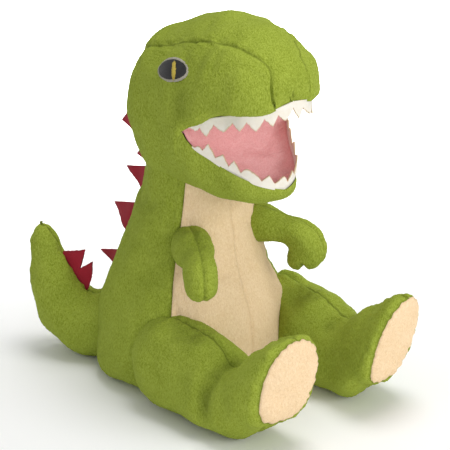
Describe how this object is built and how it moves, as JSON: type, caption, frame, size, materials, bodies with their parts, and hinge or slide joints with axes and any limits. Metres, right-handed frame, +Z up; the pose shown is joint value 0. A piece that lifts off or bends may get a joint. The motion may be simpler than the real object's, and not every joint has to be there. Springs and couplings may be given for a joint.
{
  "type": "stuffed dinosaur",
  "caption": "Sitting plush dinosaur with a big open mouth, felt teeth and back spikes, short arms, outstretched legs and an upturned tail.",
  "frame": {"origin": "middle of the flat seat, where the toy rests on the floor", "axes": "+Z up, -Y the way the toy faces, +X to its own left"},
  "size_m": [0.19, 0.316, 0.314],
  "materials": {
    "green_plush": "matte",
    "cream_plush": "matte",
    "pink_plush": "matte",
    "white_felt": "matte",
    "red_felt": "matte",
    "black_thread": "satin",
    "grey_thread": "satin",
    "yellow_thread": "satin",
    "stuffing": "matte"
  },
  "bodies": {
    "torso": {"back_spikes": "red_felt", "belly_left": "cream_plush", "belly_right": "cream_plush", "body_side_left": "green_plush", "body_side_right": "green_plush", "body_stuffing": "stuffing", "seat_panel": "green_plush"},
    "head": {"eye_border_left": "grey_thread", "eye_border_right": "grey_thread", "eye_field_left": "black_thread", "eye_field_right": "black_thread", "eye_slit_left": "yellow_thread", "eye_slit_right": "yellow_thread", "head_side_left": "green_plush", "head_side_right": "green_plush", "head_spikes": "red_felt", "head_stuffing": "stuffing", "head_top_gusset": "green_plush", "mouth_roof": "pink_plush", "upper_teeth": "white_felt"},
    "jaw": {"chin_panel": "green_plush", "jaw_stuffing": "stuffing", "lower_teeth": "white_felt", "mouth_floor": "pink_plush"},
    "arm_right": {"arm_inner_right": "green_plush", "arm_outer_right": "green_plush", "arm_stuffing_right": "stuffing"},
    "arm_left": {"arm_inner_left": "green_plush", "arm_outer_left": "green_plush", "arm_stuffing_left": "stuffing"},
    "leg_right": {"leg_inner_right": "green_plush", "leg_outer_right": "green_plush", "leg_stuffing_right": "stuffing", "sole_right": "cream_plush"},
    "leg_left": {"leg_inner_left": "green_plush", "leg_outer_left": "green_plush", "leg_stuffing_left": "stuffing", "sole_left": "cream_plush"},
    "tail": {"tail_left": "green_plush", "tail_right": "green_plush", "tail_spikes": "red_felt", "tail_stuffing": "stuffing"}
  },
  "joints": [
    {"name": "head_nod", "type": "hinge", "parent": "torso", "child": "head", "pos_m": [0, -0.01, 0.15], "axis": [1, 0, 0], "range_deg": [-12, 12], "stiffness_Nm_per_rad": 1.2},
    {"name": "jaw_close", "type": "hinge", "parent": "head", "child": "jaw", "pos_m": [0, -0.0585, 0.2318], "axis": [-1, 0, 0], "range_deg": [-3, 15], "stiffness_Nm_per_rad": 0.25},
    {"name": "arm_swing_right", "type": "hinge", "parent": "torso", "child": "arm_right", "pos_m": [-0.038, -0.046, 0.134], "axis": [-1, 0, 0], "range_deg": [-20, 25], "stiffness_Nm_per_rad": 0.05},
    {"name": "leg_lift_right", "type": "hinge", "parent": "torso", "child": "leg_right", "pos_m": [-0.061, -0.052, 0.0402], "axis": [-1, 0, 0], "range_deg": [0, 30], "stiffness_Nm_per_rad": 0.6},
    {"name": "arm_swing_left", "type": "hinge", "parent": "torso", "child": "arm_left", "pos_m": [0.038, -0.046, 0.134], "axis": [-1, 0, 0], "range_deg": [-20, 25], "stiffness_Nm_per_rad": 0.05},
    {"name": "leg_lift_left", "type": "hinge", "parent": "torso", "child": "leg_left", "pos_m": [0.061, -0.052, 0.0402], "axis": [-1, 0, 0], "range_deg": [0, 30], "stiffness_Nm_per_rad": 0.6},
    {"name": "tail_swing", "type": "hinge", "parent": "torso", "child": "tail", "pos_m": [-0.033, 0.05716, 0.03], "axis": [0, 0, 1], "range_deg": [-20, 20], "stiffness_Nm_per_rad": 0.3}
  ]
}
